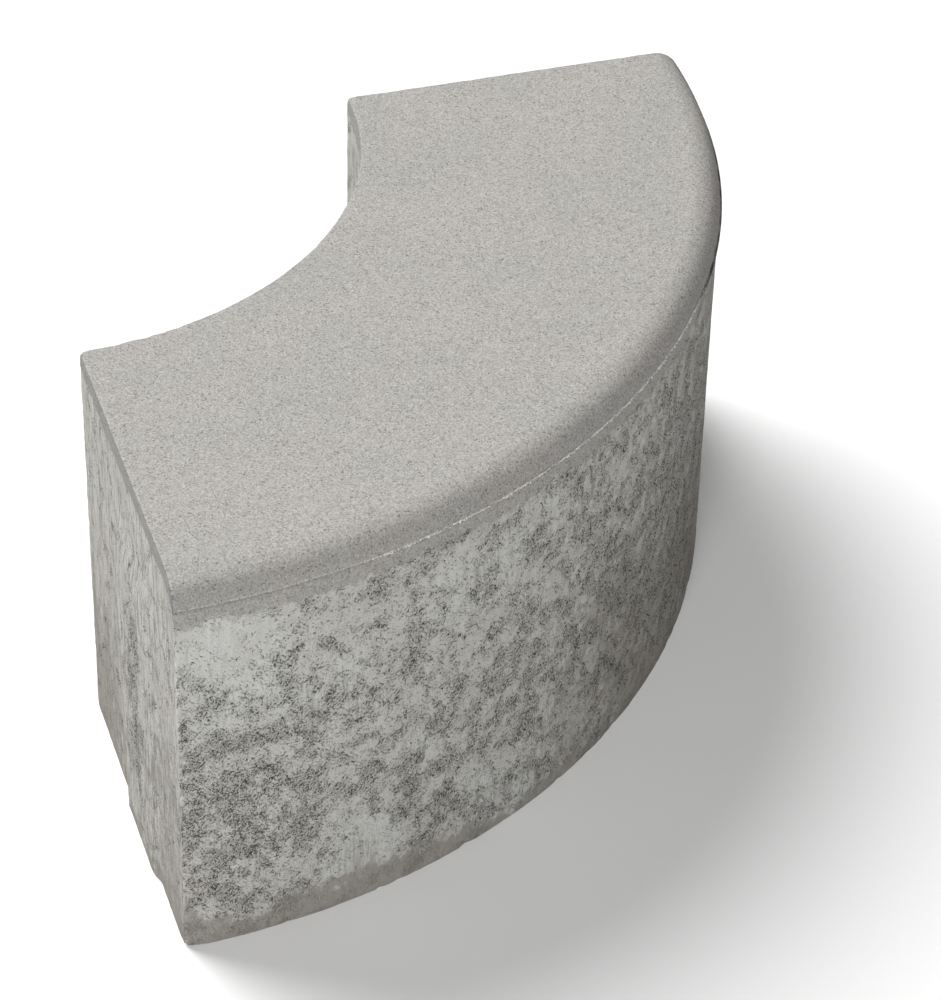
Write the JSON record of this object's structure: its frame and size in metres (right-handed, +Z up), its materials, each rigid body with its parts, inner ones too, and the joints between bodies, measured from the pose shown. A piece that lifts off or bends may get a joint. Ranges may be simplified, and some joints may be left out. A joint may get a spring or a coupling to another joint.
{
  "type": "concrete radius kerb",
  "caption": "Quarter-ring precast concrete kerb block with a rounded top outer edge, a fine facing layer on a coarse core, and a spacer rib on one end.",
  "frame": {"origin": "on the bed, at the middle of the bounding box; the arc's centre line stands at x = -0.24875 m, y = 0.25 m", "axes": "+Z up, away from the bed; -X out of the ribbed end; +Y out of the plain end; the convex wall and its rounded edge face +X and -Y"},
  "size_m": [0.5044, 0.5, 0.3],
  "materials": {
    "core_concrete": "grey core concrete as it leaves the mould: smooth cement skin between patches of open, pitted aggregate",
    "facing_concrete": "warm light grey fine facing concrete, pressed, with a sandy matt grain"
  },
  "bodies": {
    "root": {"core_block": "core_concrete", "facing_layer": "facing_concrete"}
  },
  "joints": []
}
